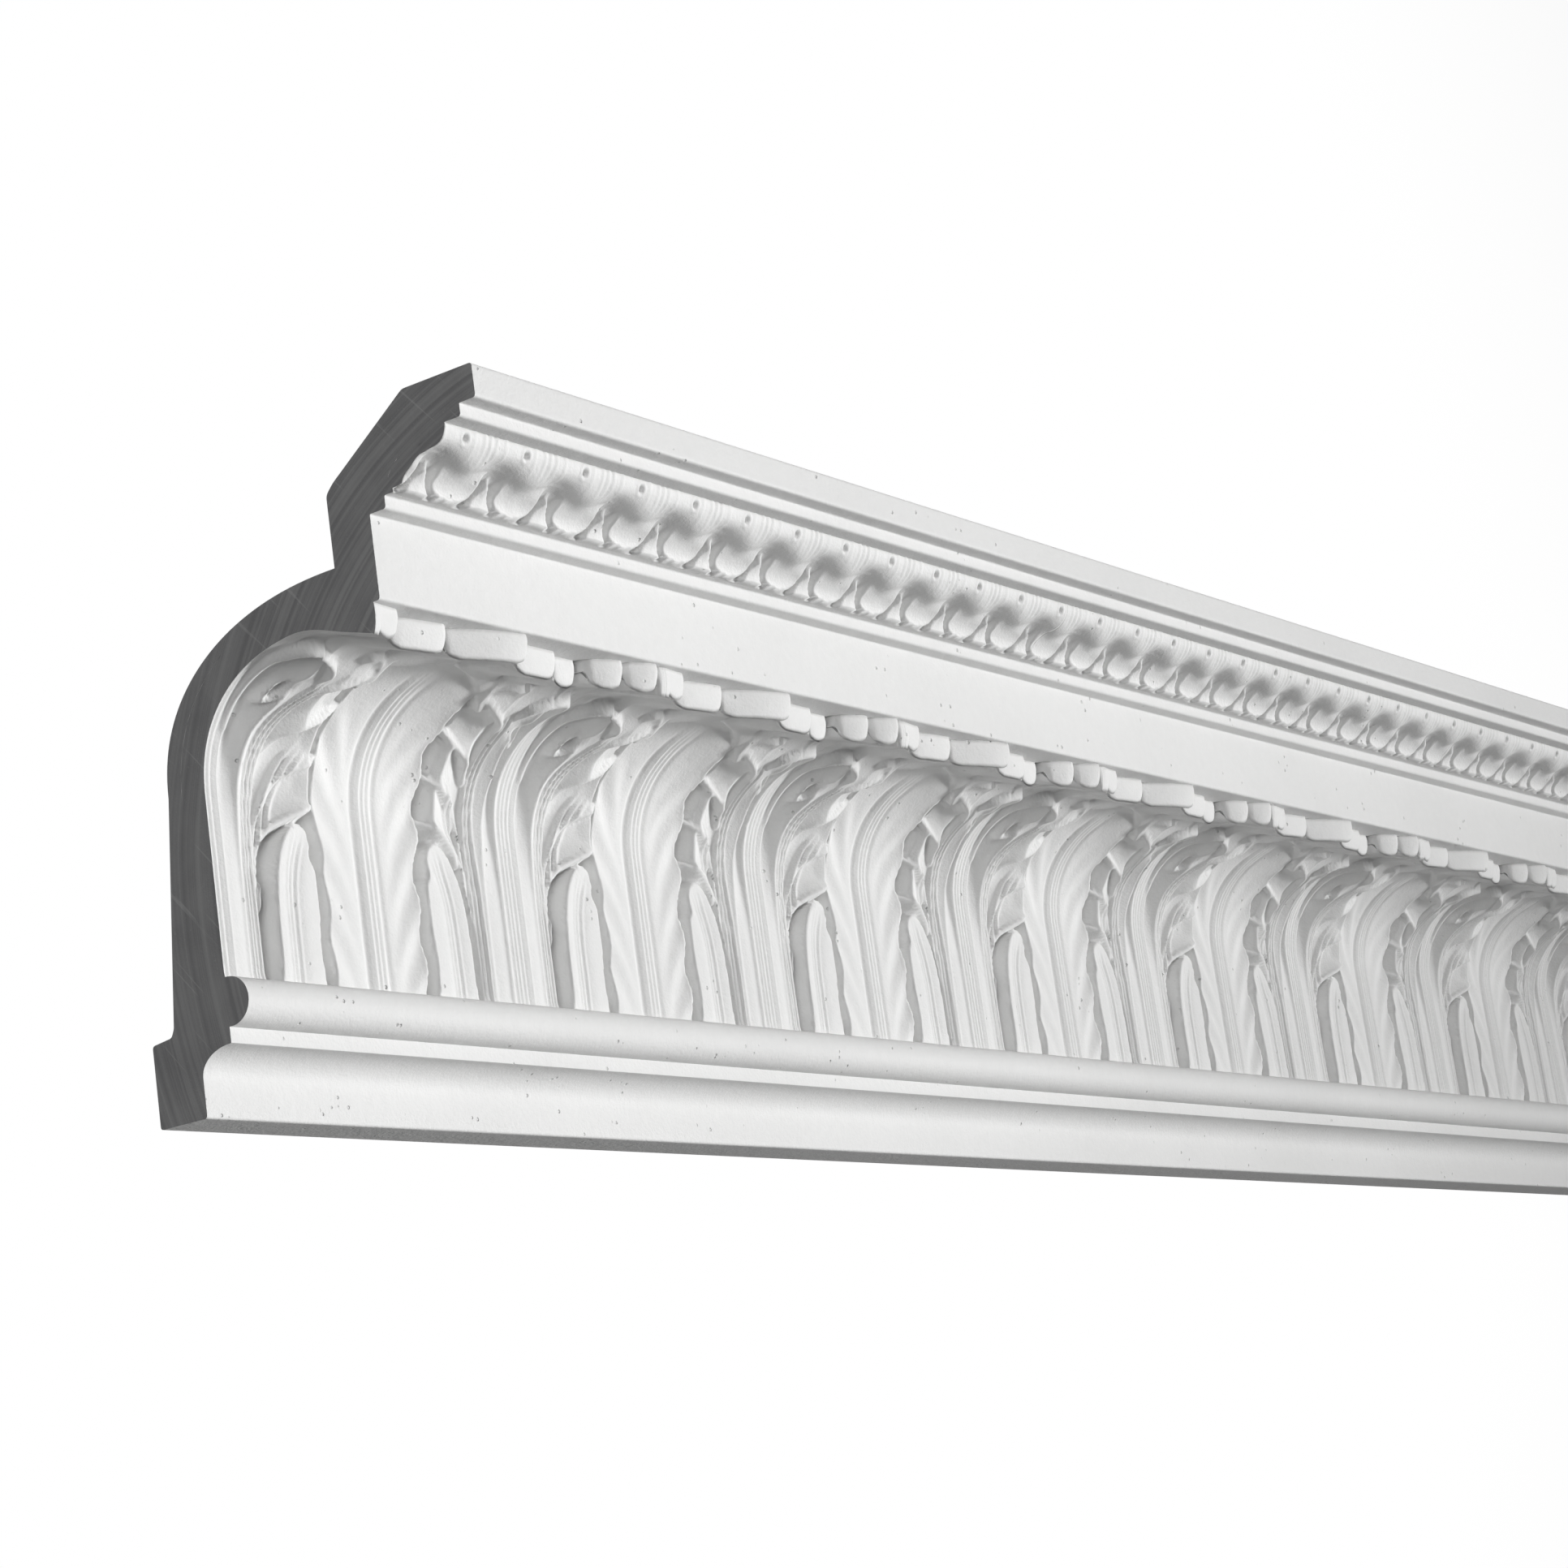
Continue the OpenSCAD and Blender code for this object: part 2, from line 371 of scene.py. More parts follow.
def resample(line, at):
    """Points and unit normals of a line at distances along it. The normal points out of the
    casting: the line's direction turned a quarter to the right."""
    far = lengths(line)
    point = np.column_stack([np.interp(at, far, line[:, k]) for k in (0, 1)])
    ahead = np.column_stack([np.interp(at + SLOPE_REACH, far, line[:, k]) for k in (0, 1)])
    behind = np.column_stack([np.interp(at - SLOPE_REACH, far, line[:, k]) for k in (0, 1)])
    d = ahead - behind
    d /= np.maximum(np.hypot(d[:, 0], d[:, 1]), 1e-9)[:, None]
    return point, np.column_stack([d[:, 1], -d[:, 0]])


# Half of the leaf pattern, in mm: distance from the rear leaf's axis, distance up the face
BLADE_EDGE = [(21.2, -12), (21.2, 15), (21.4, 28), (23.0, 40), (26.5, 49), (31, 56), (36, 66),
              (38, 80), (40, 95), (46, 108), (60, 120), (73, 126), (90, 140)]
RIB_ONE = [(17.4, -8), (17.5, 30), (18.6, 50), (19.4, 60), (20.2, 70), (21.6, 80), (23.6, 90),
           (26.2, 100), (29.5, 109)]
RIB_TWO = [(19, 5), (20, 25), (22.4, 40), (25.2, 50), (28.6, 60), (33, 70), (38.5, 78.5)]
# Height of the blade up the face: at its crest beside the stem, and at the first bundle of ribs
CREST_LIFT = [(0, -1.6), (30, -1.4), (45, -0.9), (60, 0.4), (72, 2.0), (88, 4.0), (100, 5.2),
              (109, 5.2), (120, 3.0), (130, 1.0)]
BUNDLE_LIFT = [(0, -2.5), (48, -2.4), (60, -1.5), (70, -0.5), (80, 1.0), (90, 3.0), (100, 4.5),
               (109, 4.5), (120, 2.4), (130, 0.8)]
LOWER_LEAF = [(25.6, -12), (25.6, 8), (25.9, 22), (27.2, 34), (30, 43), (34.5, 50), (39, 52.5),
              (43.4, 50.5), (44.8, 45), (44.2, 41), (46.2, 37), (46.4, 24), (45.4, 12), (45.8, 4),
              (46, -12)]
LOWER_RIB = [(33.5, -10), (33.8, 10), (34.2, 26), (35.6, 36), (38.6, 45), (41, 50)]
PETALS = [
    # ridge of the rolled end: distance from the axis, height, fall past it, dip before it; outline
    (42.0, 3.9, 4.8, 0.8,
     [(18, 14), (20, 34), (23, 43), (27, 48.5), (33, 52), (40, 55), (44.6, 57.5), (44.2, 61),
      (43.6, 66), (44, 71), (38, 73), (30, 70), (20, 54)]),
    (40.5, 4.8, 5.4, 0.8,
     [(20, 46), (25.5, 56), (30, 64), (35, 68), (40, 70.5), (44.8, 73), (44.2, 77), (43.8, 82),
      (44.2, 87), (38, 91), (28, 88), (19, 64)]),
    (33, 5.4, 5.6, 0.5,
     [(20, 64), (23, 72), (26.5, 78), (30, 82), (37, 86.5), (45, 90.5), (44.4, 96), (44.4, 103),
      (36, 108), (27, 101), (20, 84)]),
    (32, 5.2, 3.6, 0.2,
     [(20.5, 80), (23, 90), (26, 97), (29.5, 103), (34, 108), (40, 111.5), (45, 114), (42, 121),
      (36, 124), (28, 122), (23, 117), (20, 112), (19, 106)]),
]
PETAL_END = 45
# Raised rims: four bound the petals and end in small claws, and the last is the hood that closes
# the channel. Each point is the distance from the axis, the distance up, and the height.
RIMS = [
    [(25, 46, -1.8), (28, 49.4, 0.0), (33.5, 52.4, 2.2), (40, 55.2, 4.4), (44, 57, 2.8),
     (47, 58.4, 0.6)],
    [(27, 58.5, -0.8), (30.5, 64.2, 0.8), (35, 68, 3.2), (40, 70.8, 5.3), (44, 72.6, 3.2),
     (47.2, 74, 0.8)],
    [(24, 74, 0.6), (27, 78.6, 2.6), (31, 82.6, 5.2), (37, 86.6, 5.4), (43, 90, 3.4),
     (48, 92.4, 0.8)],
    [(23.5, 92, 2.6), (26, 97, 4.6), (30, 103.4, 6.4), (35, 107.6, 6.4), (41, 110.4, 4.8),
     (48, 112.4, 1.6)],
    [(5.3, 78, 0.2), (5.0, 96, 0.8), (5.4, 108, 2.0), (9, 116.4, 4.4), (15, 118.6, 6.0),
     (21, 116, 6.6), (25, 111, 6.2), (24.6, 104, 5.0)],
]
RIM_WALL = 5.0
# Drilled eye: its middle, its turn in radians, its half width and half height, and its depth
EYE_AT, EYE_TURN, EYE_HALF, EYE_DEPTH = (15.4, 97), 0.45, (1.6, 4.8), 9.0
# Scallops of the front leaf: distance from one to the next, and the first one's middle
LOBE, FIRST_LOBE = 20.5, 32
TIP_ENDS = [
    # end as a share of the pitch, distance back from the fascia at its left and at its right end
    (0.095, 2, 3.3), (0.275, 10, 6.5), (0.5, 10, 0.5), (0.665, 8, 8.5),
    (0.765, 12, 12), (0.87, 9, 4), (0.97, 5.5, 0.5), (1.0, 3, 2.2),
]
# How far the tips stay clear of the fascia, and a distance at which a crease has no depth
TIP_CLEAR, CREASE_FREE = 0.6, 9.0
# Heights of the carving are given before this factor
CARVING = 1.1


def bell(value, width):
    """1 where the value is 0, falling on both sides: e to the minus square of value / width."""
    return np.exp(-((value / width) ** 2))


def rear_blade(x, s, under, rib_x, rib_h):
    """The rear leaf's blade over what is under it. From the axis outwards: a stem with fine
    reeds and a raised edge, a channel that rises by a power of 1.5 to a crest, and a ledge that
    runs from the crest to the first bundle of ribs. Its outer edge is a steep wall."""
    crest_h = np.interp(s, *curve(CREST_LIFT).T)
    crest = 13.4 + 4.2 * smooth(76, 98, s)
    groove = -0.9 - 1.3 * smooth(28, 72, s) + 0.9 * smooth(84, 104, s)
    side = mix(groove, crest_h, np.clip((x - 8.6) / (crest - 8.6), 0, 1) ** 1.5)
    ledge = mix(crest_h, rib_h, smooth(crest, crest + 5, x))
    side = np.where(x < crest, side, ledge) + 0.5 * bell(x - crest, 0.7)
    side -= 0.6 * smooth(rib_x + 2, rib_x + 4, x)
    reeds = np.cos(2 * np.pi * x / 2.1) * (1 - smooth(4.2, 4.8, x)) * (1 - smooth(60, 110, s))
    blade = mix(-0.7 + 0.3 * reeds, side, smooth(5.2, 7.6, x))
    blade += 0.7 * bell(x - 5.3, 0.6) * (1 - 0.6 * smooth(100, 122, s))
    out, _ = along(x, s, curve(BLADE_EDGE))
    return mix(under, blade, smooth(-0.7, 0.7, -out))


def lower_leaf(x, s, under):
    """The lower leaf over what is under it: a channel with low ribs, and a small curl beside
    its foot."""
    edge = inside(x, s, curve(LOWER_LEAF, 6, True))
    middle = curve(LOWER_RIB)
    across, _ = along(x, s, middle)
    channel = 0.8 - 1.3 * bell(across, 3.6) * (1 - smooth(40, 52, s))
    h = mix(under, channel, smooth(-0.6, 0.8, edge))
    h += ribs(x, s, middle, 3.0, 0.5) * smooth(0, 1.5, edge)
    curl = np.exp(-((x - 23.2) / 0.9) ** 2 - ((s - 27.5) / 6.0) ** 4)
    return h + 4.4 * curl * (1 - smooth(0, 1, edge))


def petals(x, s, under, rib_x, rib_h):
    """Four petals over what is under them, each over the one below it. A petal rises smoothly
    from the first bundle of ribs to its ridge, dips by a sine on the way, falls by a power of
    1.1 past the ridge, and has a raised edge and a slightly hollow middle."""
    h = under
    for ridge, height, fall, dip, outline in PETALS:
        edge = inside(x, s, curve(outline, 6, True))
        rise = np.clip((x - rib_x - 1) / (ridge - rib_x - 1), 0, 1)
        top = mix(rib_h - 0.6, height, smooth(0, 1, rise)) - dip * np.sin(np.pi * rise)
        top = top - fall * np.clip((x - ridge) / (PETAL_END - ridge), 0, 1.2) ** 1.1
        top = top + 1.3 * np.exp(-np.maximum(edge, 0) / 0.9) - 1.2 * smooth(1, 7, edge)
        h = mix(h, top, smooth(-0.6, 0.6, edge) * smooth(0, 3, x - rib_x - 1.5))
    return h


def raised_rims(x, s, under):
    """The rims over what is under them: a parabola across each rim's path, at the height that
    the path gives, between two steep walls."""
    h = under
    for rim in RIMS:
        path = curve(rim)
        across, far = along(x, s, path[:, :2])
        crown = np.interp(far, lengths(path[:, :2]), path[:, 2]) - 0.25 * across**2
        h = np.maximum(h, mix(crown - RIM_WALL, crown, smooth(2.6, 0.6, np.abs(across))))
    return h


def drilled_eye(x, s, under):
    """The drilled eye on the channel's side: a turned ellipse, level round the hole, with a
    raised rim that is highest at its foot."""
    c, d = math.cos(EYE_TURN), math.sin(EYE_TURN)
    ex = (x - EYE_AT[0]) * c - (s - EYE_AT[1]) * d
    es = (x - EYE_AT[0]) * d + (s - EYE_AT[1]) * c
    eye = np.hypot(ex / (EYE_HALF[0] + 0.1 * np.clip(es, -5, 5)), es / EYE_HALF[1])
    h = mix(under, 2.4 + 0.1 * ex, 0.65 * np.exp(-((eye / 2.0) ** 4)))
    h += bell(eye - 1.5, 0.4) * (0.4 + 1.4 * smooth(4, -5, es))
    return h - EYE_DEPTH * (1 - smooth(0.4, 0.95, eye))


def front_leaf(a, s, left, under):
    """The front leaf over what is under it, by the distance a from its axis: an edge that
    swells by a cosine at each scallop and turns out more on the right, side veins that rise to
    the scallops, and a reeded stem between two grooves."""
    swell = 0.5 + 0.5 * np.cos(2 * np.pi * (s - FIRST_LOBE) / LOBE)
    width = (22.0 + 2.8 * smooth(40, 57, s) + (swell - 0.5) * (1 - smooth(84, 100, s))
             + 1.2 * smooth(96, 116, s))
    edge = width - a
    t = np.clip(a / 24, 0, 1)
    turned = np.where(left, 0.7, 1.7 + 1.3 * smooth(60, 90, s))
    h = -0.7 + turned * t**1.7 - 2.0 * smooth(100, 122, s) * t
    vein = np.cos(2 * np.pi * (s - FIRST_LOBE + 38 * (1 - t) ** 1.1) / LOBE)
    soft = smooth(0.3, 0.6, t) * (1 - smooth(80, 100, s))
    h += (0.3 * (0.5 + 0.5 * vein) ** 3 - 1.1 * (0.5 - 0.5 * vein) ** 1.4 * t) * soft
    lip = np.where(left, 0.4, 1.1)
    h += lip * np.exp(-np.maximum(edge, 0) / 1.1) * (1 - smooth(96, 112, s))
    stem = 1 - smooth(90, 120, s)
    h += 0.8 * np.exp(-((a / 4.0) ** 4)) * stem
    h += 0.26 * np.cos(2 * np.pi * a / 2.3) * (1 - smooth(2.6, 3.4, a)) * stem
    h -= 0.7 * bell(a - 5.2, 1.1) * stem
    return mix(under, h, smooth(-0.7, 0.7, edge) * (1 - smooth(108, 124, s)))


def leaf_relief(along_mm, s, pitch, depth):
    """Height of the leaf carving over the leaf face, in mm. The pattern is mirrored about the
    axes of the rear leaf (0) and the front leaf (half a pitch). Layers are laid one over the
    other, each behind a steep wall: the ground, the rear leaf's blade and its ribs, the lower
    leaf, the petals and their ribs, the rims, the drilled eye, and the front leaf."""
    half = pitch / 2
    x = np.abs((along_mm + half) % pitch - half)
    first = curve(RIB_ONE)
    rib_x = np.interp(s, first[:, 1], first[:, 0])
    rib_h = np.interp(s, *curve(BUNDLE_LIFT).T)
    ground = -6.2 + 4.2 * smooth(92, 118, s)
    h = ground - 0.8 * smooth(17, 21, x) * (1 - smooth(25, 29, x)) * (1 - smooth(40, 52, s))
    h = rear_blade(x, s, h, rib_x, rib_h) + ribs(x, s, first, 3.0, 1.1)
    h = petals(x, s, lower_leaf(x, s, h), rib_x, rib_h)
    h += ribs(x, s, curve(RIB_TWO), 2.9, 1.1) * smooth(0, 1, x - rib_x - 2.5)
    h = drilled_eye(x, s, raised_rims(x, s, h))
    return front_leaf(half - x, s, along_mm % pitch < half, h) * CARVING * depth


def tip_reach(along_mm, pitch):
    """How far out each blunt tip reaches, and how far its nearest crease is. Each tip's end
    swings from its left setback to its right one by a quarter sine. The tips at the two ends of
    a repeat have no crease between them."""
    share = (along_mm % pitch) / pitch
    ends = np.array([row[0] for row in TIP_ENDS])
    which = np.minimum(np.searchsorted(ends, share, side="right"), len(ends) - 1)
    starts = np.concatenate([[0], ends[:-1]])
    lefts, rights = (np.array([row[k] for row in TIP_ENDS]) for k in (1, 2))
    t = np.clip((share - starts[which]) / (ends[which] - starts[which]), 0, 1)
    back = lefts[which] + (rights[which] - lefts[which]) * np.sin(t * np.pi / 2)
    gap = np.minimum(share - starts[which], ends[which] - share) * pitch
    joined = (share > 0.985) | (share < 0.02)
    return FASCIA - TIP_CLEAR - back, np.where(joined, CREASE_FREE, gap)


# Places of the two finishes in a piece's list
PRIMED, SAWN = 0, 1


def put(name, data):
    """A new object in the scene."""
    made = bpy.data.objects.new(name, data)
    bpy.context.scene.collection.objects.link(made)
    return made


def skin(name, rows, materials, sawn_ends=(True, True), angle=None):
    """A closed tube from rows of points: rows run round the section, columns along the length.
    The last row joins the first, and each end is one flat face, sawn or primed. Edges sharper
    than the angle, in degrees, stay crisp."""
    count, columns = rows.shape[:2]
    index = np.arange(count * columns).reshape(count, columns)
    below = np.roll(index, -1, axis=0)
    quads = np.stack([index[:, :-1], index[:, 1:], below[:, 1:], below[:, :-1]], -1).reshape(-1, 4)
    near, far = index[:, 0], index[::-1, -1]
    corners = np.concatenate([quads.ravel(), near, far])
    starts = np.concatenate([np.arange(len(quads)) * 4, [quads.size, quads.size + count]])
    mesh = bpy.data.meshes.new(name)
    mesh.vertices.add(count * columns)
    mesh.vertices.foreach_set("co", (rows * MM).astype(np.float32).ravel())
    mesh.loops.add(len(corners))
    mesh.loops.foreach_set("vertex_index", corners.astype(np.int32))
    mesh.polygons.add(len(starts))
    mesh.polygons.foreach_set("loop_start", starts.astype(np.int32))
    kinds = np.zeros(len(starts), np.int32)
    kinds[-2:] = [SAWN if sawn else PRIMED for sawn in sawn_ends]
    for material in materials:
        mesh.materials.append(material)
    mesh.polygons.foreach_set("material_index", kinds)
    softly = np.ones(len(starts), bool)
    softly[-2:] = False
    mesh.polygons.foreach_set("use_smooth", softly)
    mesh.update(calc_edges=True)
    mesh.validate()
    if angle:
        mesh.set_sharp_from_angle(angle=math.radians(angle))
    made = put(name, mesh)
    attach(made, BODY)
    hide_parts(NODE)
    return made


def settle(along_mm, out, up):
    """Section coordinates to the frame's: along the length, out from the wall, up."""
    return np.stack(np.broadcast_arrays(along_mm + LOW[0], -out, up - SECTION_FOOT), -1)


# Steps of a rounded corner; the share of a side that its arc may take; the smallest arc; and how
# far back from the arc the flat begins, as a share of the radius
CORNER_STEPS, SIDE_SHARE, SMALLEST_ARC, FLAT_FROM = 4, 0.32, 0.05, 1.35


def rounded(corners, radius):
    """A closed section with its corners rounded: each corner (out, up, share of the radius)
    becomes an arc between two points a little further back, which keep the flats flat."""
    p = np.array([c[:2] for c in corners], float)
    share = np.array([c[2] if len(c) > 2 else 1.0 for c in corners])
    made = []
    for i in range(len(p)):
        before, after = p[i - 1] - p[i], p[(i + 1) % len(p)] - p[i]
        r = min(radius * share[i], SIDE_SHARE * np.hypot(*before), SIDE_SHARE * np.hypot(*after))
        if r < SMALLEST_ARC:
            made.append(p[i][None])
            continue
        b, a = before / np.hypot(*before), after / np.hypot(*after)
        t = np.linspace(0, 1, CORNER_STEPS + 1)[:, None]
        bend = p[i] + b * r * (1 - t) ** 2 + a * r * t**2
        made.append(np.vstack([p[i] + b * r * FLAT_FROM, bend, p[i] + a * r * FLAT_FROM]))
    return np.vstack(made)


# A section's corner that isn't rounded, as a share of the radius
CRISP = 0.0


def arc(centre, radius, start, end, steps):
    """Points of an arc of an ellipse, with no rounding of their own."""
    turn = np.radians(np.linspace(start, end, steps))
    return [(centre[0] + radius[0] * math.cos(t), centre[1] + radius[1] * math.sin(t), CRISP)
            for t in turn]


RELIEF_WALL = 10.0
BAND_BACK, BAND_FOOT, BAND_HEAD = 121.5, 169.9, 185.1
BAND_GROUND = [(117.5, BAND_FOOT), (117.5, 175.5), (121.5, 179.6), (130.5, 181.0),
               (134.5, 183.0), (135.5, BAND_HEAD)]
# The hollow back's turn: its centre, and its reach in and up
BACK_CENTRE, BACK_HALF = (93, 100), (76, 53.3)


def cove_back():
    """The line where the leaf carving meets the shell, up to the soffit."""
    line = cove_line(RELIEF_WALL)
    keep = line[line[:, 1] < SOFFIT - 0.4]
    last = line[len(keep)]
    return np.vstack([keep, [last[0], SOFFIT]])


def shell_section(radius):
    """The whole section of the casting under its carving, down the front and up the back."""
    front = [(0, 0), (19.3, 0)]
    front += [(19.3, 12.4, 0.5)] + arc((31.8, 12.4), (12.5, 8.2), 174, 92, 12)
    front += [(32, 20.7, 0.6), (32, 25.6, CRISP)] + arc((33.2, 33.2), (7.6, 7.6), -90, 90, 25)
    front += [tuple(p) + (CRISP,) for p in cove_back()]
    front += [(FASCIA, SOFFIT), (FASCIA, 165.8, 0.5), (115.2, 165.8), (115.2, BAND_FOOT, 0.6)]
    front += [p + (CRISP,) for p in BAND_GROUND]
    front += [(147.2, BAND_HEAD), (147.2, 189.2, 0.5), (153.5, 189.2), (153.5, 200), (126.5, 200)]
    back = [(96, 179.3, 4), (93, 176.3, 4)]
    turn = np.radians(np.linspace(90, 180, 40))
    back += [(BACK_CENTRE[0] - BACK_HALF[0] * abs(math.cos(t)) ** COVE_POWER,
              BACK_CENTRE[1] + BACK_HALF[1] * math.sin(t) ** COVE_POWER, CRISP) for t in turn]
    back += [(9.4, 29.5, 3), (8.1, 27, 3), (0, 26)]
    return rounded(front + back, radius)


SHELL_COLUMNS, SHELL_CRISP = 60, 32


def moulding_shell(sizes, materials):
    """Plain members, grounds, hollow back and sawn ends: one section carried along the length."""
    section = shell_section(sizes.arris / MM)
    at = np.linspace(0, LENGTH, SHELL_COLUMNS + 1)
    rows = settle(at[None, :], section[::-1, 0][:, None], section[::-1, 1][:, None])
    return skin("moulding_shell", rows, materials, angle=SHELL_CRISP)


# Width of a leaf column in mm, and the rows of a leaf's face, tips, tips' ends, soffit and back
LEAF_COLUMN, LEAF_ROWS, TIP_ROWS, END_ROWS, LEVEL_ROWS, BACK_ROWS = 0.5, 112, 37, 7, 2, 14
# Where up the face the tips begin, how much of the pattern runs out along them, and their height
TIP_START, TIP_RUN, TIP_HEIGHT = 110.0, 44, 8.0
CARVING_TOP = SOFFIT - 1.0
# Share of the reach over which a tip keeps its direction, and the direction that it ends in
TIP_LEAD, TIP_HEADING = 0.45, (0.96, -0.28)
CREASE_DEPTH, BELLY, TIP_CORNER, TIP_NOSE = 4.0, 1.8, 1.6, 1.3


def acanthus_repeat(number, start, end, sizes, materials):
    """One repeat of the leaves: rows climb the leaf face by the relief's height, run out to
    each tip's reach on a cubic that ends nearly level, rise up the tips' blunt ends, and come
    back along the soffit and down the line where the carving meets the shell. Between two tips
    a bell-shaped crease rises, and each tip's underside has a belly."""
    pitch = sizes.leaf_pitch / MM
    x = np.linspace(start, end, round((end - start) / LEAF_COLUMN) + 1)
    s = np.linspace(0, TIP_START, LEAF_ROWS)
    point, normal = resample(cove_line(), s)
    h = leaf_relief(x[None, :], s[:, None], pitch, sizes.relief)
    h = h * (1 - 0.25 * (1 - smooth(0, 3, s[:, None])))
    out = point[:, :1] + normal[:, :1] * h
    up = np.minimum(point[:, 1:] + normal[:, 1:] * h, CARVING_TOP)
    up[0] = COVE_FOOT

    reach, gap = tip_reach(x, pitch)
    v = np.linspace(0, 1, TIP_ROWS + 1)[1:, None]
    first, last = np.array(point[-1]), np.column_stack([reach, 0 * reach + SOFFIT - TIP_HEIGHT])
    run = np.array([-normal[-1, 1], normal[-1, 0]])
    lead = (reach - first[0]) * TIP_LEAD
    p0, p3 = first[:, None], last.T
    p1 = p0 + run[:, None] * lead
    p2 = p3 - np.array(TIP_HEADING)[:, None] * lead
    cubic = [(1 - v) ** 3 * p0[k] + 3 * (1 - v) ** 2 * v * p1[k]
             + 3 * (1 - v) * v**2 * p2[k] + v**3 * p3[k] for k in (0, 1)]
    lift = leaf_relief(x[None, :], TIP_START + v * TIP_RUN, pitch, sizes.relief)
    lift = lift * (1 - smooth(0.0, 0.75, v))
    crease = bell(gap, 1.7) * CREASE_DEPTH * smooth(0.1, 0.7, v)
    belly = BELLY * smooth(0, 7, gap) * smooth(0.15, 0.8, v)
    corner = TIP_CORNER * np.clip(1 - gap / 3.0, 0, 1) ** 2
    tip_out = cubic[0] + normal[-1, 0] * lift * (1 - v)
    tip_up = np.minimum(cubic[1] - lift + crease - belly, CARVING_TOP)

    w = np.linspace(0, 1, END_ROWS + 1)[1:, None]
    face_out = reach + 0.35 * np.sin(w * np.pi) - corner - 1.0 * (1 - w) ** 2
    face_up = tip_up[-1] + (SOFFIT - tip_up[-1]) * w
    tip_out[-1] = tip_out[-1] - corner - TIP_NOSE

    back = cove_back()
    home, _ = resample(back, np.linspace(lengths(back)[-1], 0, BACK_ROWS))
    home[0], home[-1] = back[-1], back[0]
    level = np.linspace(0, 1, LEVEL_ROWS + 2)[1:-1, None]
    level_out = mix(face_out[-1][None, :], home[0, 0], level)
    rows_out = np.vstack([out, tip_out, face_out, level_out, np.repeat(home[:, :1], len(x), 1)])
    rows_up = np.vstack([up, tip_up, face_up, 0 * level_out + SOFFIT,
                         np.repeat(home[:, 1:], len(x), 1)])
    rows = settle(x[None, :], rows_out, rows_up)[::-1]
    return skin("acanthus_repeat_%d" % number, rows, materials, at_ends(start, end))


def at_ends(start, end):
    """Whether a stretch of the length begins at the near sawn end, and ends at the far one."""
    return start < 0.01, end > LENGTH - 0.01


# The band's section: half the run of its S, the rise of its hollow foot and of its rounded head,
# and how far out it reaches
BAND_HALF, BAND_HOLLOW, BAND_ROUND, BAND_FRONT = 9.7, 6.9, 8.3, 140.9
BAND_COLUMN, BAND_ROWS, BAND_BACK_ROWS = 0.62, 44, 12
# Middles of the tongue, the dart, the body above and the reeds, along the length in a pitch, and
# of the drilled eye, also up the band
TONGUE_AT, DART_AT, BODY_AT, REEDS_AT, BAND_EYE_AT = 22.2, 7.6, 19.8, 22.5, (10.4, 24.2)
# The tongue's half width, and where up the band it is widest
TONGUE_HALF, TONGUE_WIDEST = 10.4, 6.5


def band_line():
    """The S-shaped section of the tongues: a hollow foot, level in the middle, a rounded head."""
    t = np.linspace(0, 1, 81)
    turn = np.pi * t
    low = t < 0.5
    out = np.where(low, BAND_BACK + BAND_HALF * (1 - np.cos(turn)),
                   BAND_FRONT - BAND_HALF * (1 + np.cos(turn)))
    up = np.where(low, BAND_FOOT + BAND_HOLLOW * np.sin(turn),
                  BAND_FOOT + BAND_HOLLOW + BAND_ROUND * (1 - np.sin(turn)))
    return np.column_stack([out, up])


def tongue_relief(along_mm, s, pitch, depth):
    """Height of the tongue carving over the band, in mm: rounded tongues with a raised lip,
    a pointed dart between each two at the foot, a cosine that carries the tongues up the band,
    and a drilled eye and fine reeds at the head. The ground is deepest at the foot."""
    x = along_mm % pitch
    a = np.abs((x - TONGUE_AT + pitch / 2) % pitch - pitch / 2)
    below = (TONGUE_WIDEST - np.minimum(s, TONGUE_WIDEST)) / 6.6
    tongue = TONGUE_HALF * np.sqrt(np.clip(1 - below**3, 0.0, 1)) - a
    ground = -2.0 - 0.9 * (1 - smooth(3, 9, s))
    h = mix(ground, 0.5, smooth(-0.5, 1.1, tongue))
    h += 0.4 * np.exp(-np.maximum(tongue, 0) / 0.9) * smooth(-0.3, 0.2, tongue)
    h -= 0.3 * smooth(0, 7, tongue)
    aside = x - DART_AT
    dart = np.minimum(9.5 - s, 9.5) * 0.58 - np.abs(aside + 0.10 * s)
    h = np.maximum(h, mix(ground, 0.8 - 0.12 * np.abs(aside), smooth(-0.5, 0.6, dart)))
    body = np.cos(2 * np.pi * (x - BODY_AT + 0.2 * (s - 12)) / pitch)
    head = smooth(15, 23, s)
    h = mix(h, mix(-0.8 + 1.6 * body, -0.15, head), smooth(7, 13, s))
    h += 0.2 * np.cos(2 * np.pi * (x - REEDS_AT) / 2.9) * (1 - smooth(3.4, 4.6, a)) * head
    h += 0.25 * bell(a - 7.4, 0.7) * head
    eye = np.hypot((x - BAND_EYE_AT[0]) / 1.25, (s - BAND_EYE_AT[1]) / 1.6)
    h -= 1.9 * (1 - smooth(0.3, 1.05, eye))
    h += 0.35 * bell(eye - 1.5, 0.3)
    return h * depth


